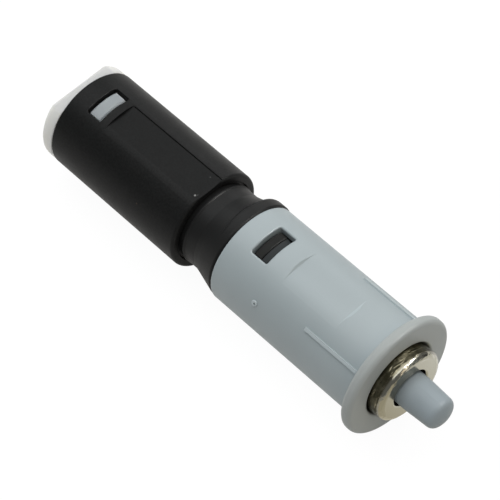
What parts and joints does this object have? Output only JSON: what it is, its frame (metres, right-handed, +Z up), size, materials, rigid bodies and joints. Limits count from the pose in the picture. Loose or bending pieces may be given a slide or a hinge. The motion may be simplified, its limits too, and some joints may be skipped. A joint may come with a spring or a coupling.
{
  "type": "touch latch",
  "caption": "Drill-in magnetic touch latch: flanged barrel, floating ring magnet and a push-to-open plunger run by a heart-track mechanism in a capped rear housing.",
  "frame": {"origin": "on the barrel's axis, in the plane of the flange's rear face, which seats on the panel", "axes": "+X along the latch and out of the plunger's tip, +Z up through the snap windows and the flats"},
  "size_m": [0.0694, 0.018, 0.018],
  "materials": {
    "grey_plastic": "satin moulded grey plastic",
    "grey_plastic_plunger": "satin moulded grey plastic",
    "black_plastic": "satin moulded black plastic",
    "black_plastic_neck": "satin moulded black plastic",
    "black_plastic_carrier": "moulded black plastic",
    "white_plastic": "satin moulded off-white plastic",
    "natural_plastic": "slippery natural acetal",
    "nickel_plate": "bright nickel plating",
    "plate_steel": "zinc-plated steel washer",
    "steel_rod": "drawn steel wire",
    "spring_steel": "spring steel",
    "stop_rubber": "black rubber"
  },
  "bodies": {
    "housing": {"front_barrel": "grey_plastic", "rear_housing": "black_plastic", "coupling_sleeve": "black_plastic_neck", "end_cap": "white_plastic", "guide_rod": "steel_rod", "stop_ring": "stop_rubber", "main_spring": "spring_steel", "magnet_spring": "spring_steel", "follower_spring": "spring_steel"},
    "magnet": {"ring_magnet": "nickel_plate", "pole_plate": "plate_steel", "magnet_carrier": "black_plastic_carrier"},
    "ejector": {"plunger": "grey_plastic_plunger", "cam_slider": "natural_plastic"},
    "follower": {"follower_wire": "steel_rod"}
  },
  "joints": [
    {"name": "magnet_float", "type": "slide", "parent": "housing", "child": "magnet", "axis": [1, 0, 0], "range_m": [-0.00205, 0], "stiffness_N_per_m": 400, "springref_m": 0.004, "deforming": ["magnet_spring"]},
    {"name": "plunger_push", "type": "slide", "parent": "housing", "child": "ejector", "axis": [1, 0, 0], "range_m": [-0.0082, 0], "stiffness_N_per_m": 300, "springref_m": 0.004, "deforming": ["main_spring"]},
    {"name": "follower_swing", "type": "hinge", "parent": "housing", "child": "follower", "pos_m": [-0.0495, 0, 0.0043], "axis": [0, 0, 1], "range_deg": [0, 8.9]}
  ],
  "couplings": [
    {"joint": "follower_swing", "follows": "plunger_push", "rad_per_m": -18.596}
  ]
}
